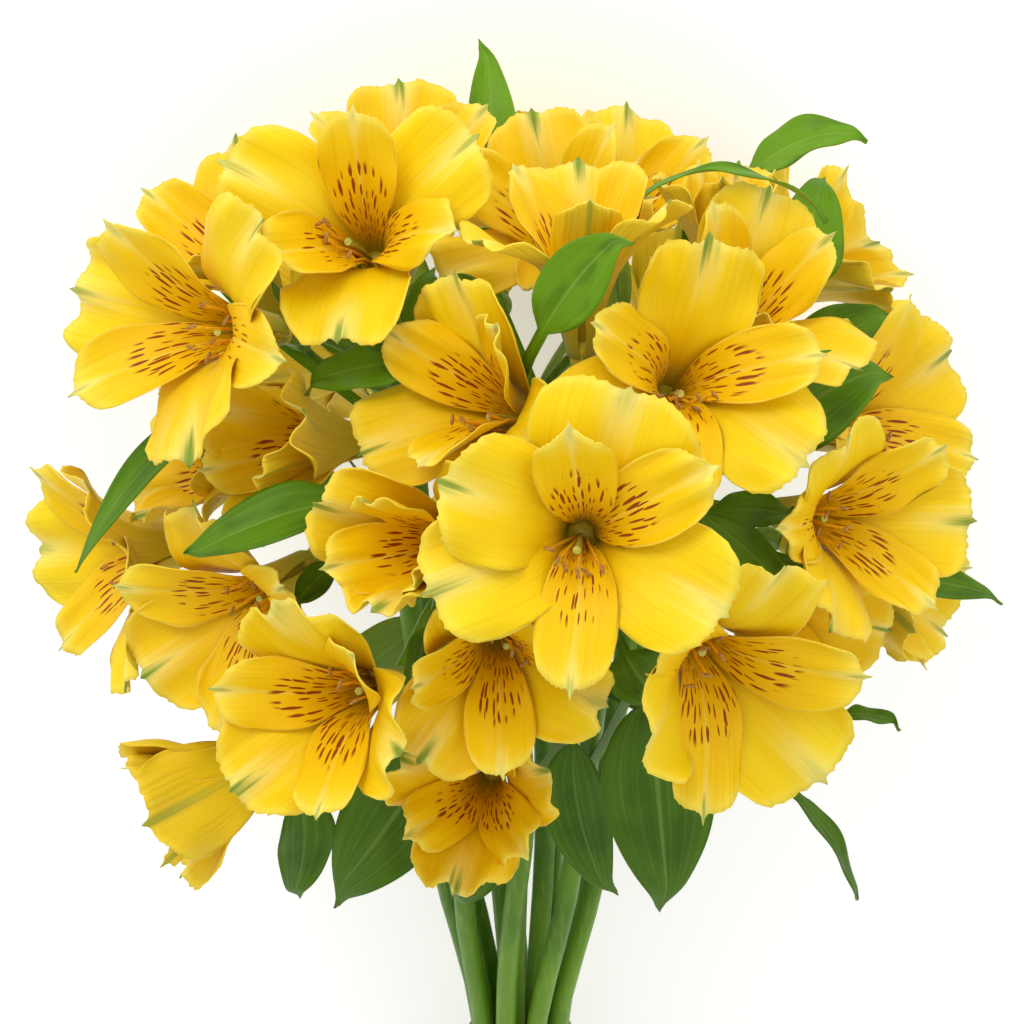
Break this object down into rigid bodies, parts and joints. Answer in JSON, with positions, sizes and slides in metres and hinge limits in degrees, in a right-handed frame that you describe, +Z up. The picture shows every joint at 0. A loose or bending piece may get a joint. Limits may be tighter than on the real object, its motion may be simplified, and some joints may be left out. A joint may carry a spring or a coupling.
{
  "type": "alstroemeria bunch",
  "caption": "Hand-tied bunch of open yellow alstroemeria blooms on leafy green stems, lying on its side, for a table, a market stall or an arranging scene.",
  "frame": {"origin": "middle of the footprint, on the surface that the bunch lies on", "axes": "+Y along the bunch from the cut ends to the head of flowers, +Z up, +X to the right when looking along +Y"},
  "size_m": [0.2182, 0.3854, 0.1901],
  "materials": {
    "petal": "soft satin, living petal",
    "foliage": "satin, living leaf and stem",
    "band": "matte natural rubber"
  },
  "bodies": {
    "root": {"bloom_a": "petal", "bloom_b": "petal", "bloom_c": "petal", "bloom_d": "petal", "bloom_e": "petal", "bloom_f": "petal", "bloom_g": "petal", "bloom_h": "petal", "bloom_i": "petal", "bloom_j": "petal", "bloom_k": "petal", "bloom_l": "petal", "bloom_m": "petal", "bloom_n": "petal", "bloom_o": "petal", "bloom_p": "petal", "bloom_q": "petal", "bloom_r": "petal", "bloom_s": "petal", "bloom_t": "petal", "bloom_u": "petal", "bloom_v": "petal", "bloom_w": "petal", "bloom_x": "petal", "bloom_y": "petal", "bloom_z": "petal", "bloom_aa": "petal", "bloom_ab": "petal", "bloom_ac": "petal", "bloom_ad": "petal", "bloom_ae": "petal", "leafy_stem_1": "foliage", "leafy_stem_2": "foliage", "leafy_stem_3": "foliage", "leafy_stem_4": "foliage", "leafy_stem_5": "foliage", "leafy_stem_6": "foliage", "leafy_stem_7": "foliage", "leafy_stem_8": "foliage", "leafy_stem_9": "foliage", "leafy_stem_10": "foliage", "leafy_stem_11": "foliage", "leafy_stem_12": "foliage", "tie": "band"}
  },
  "joints": []
}
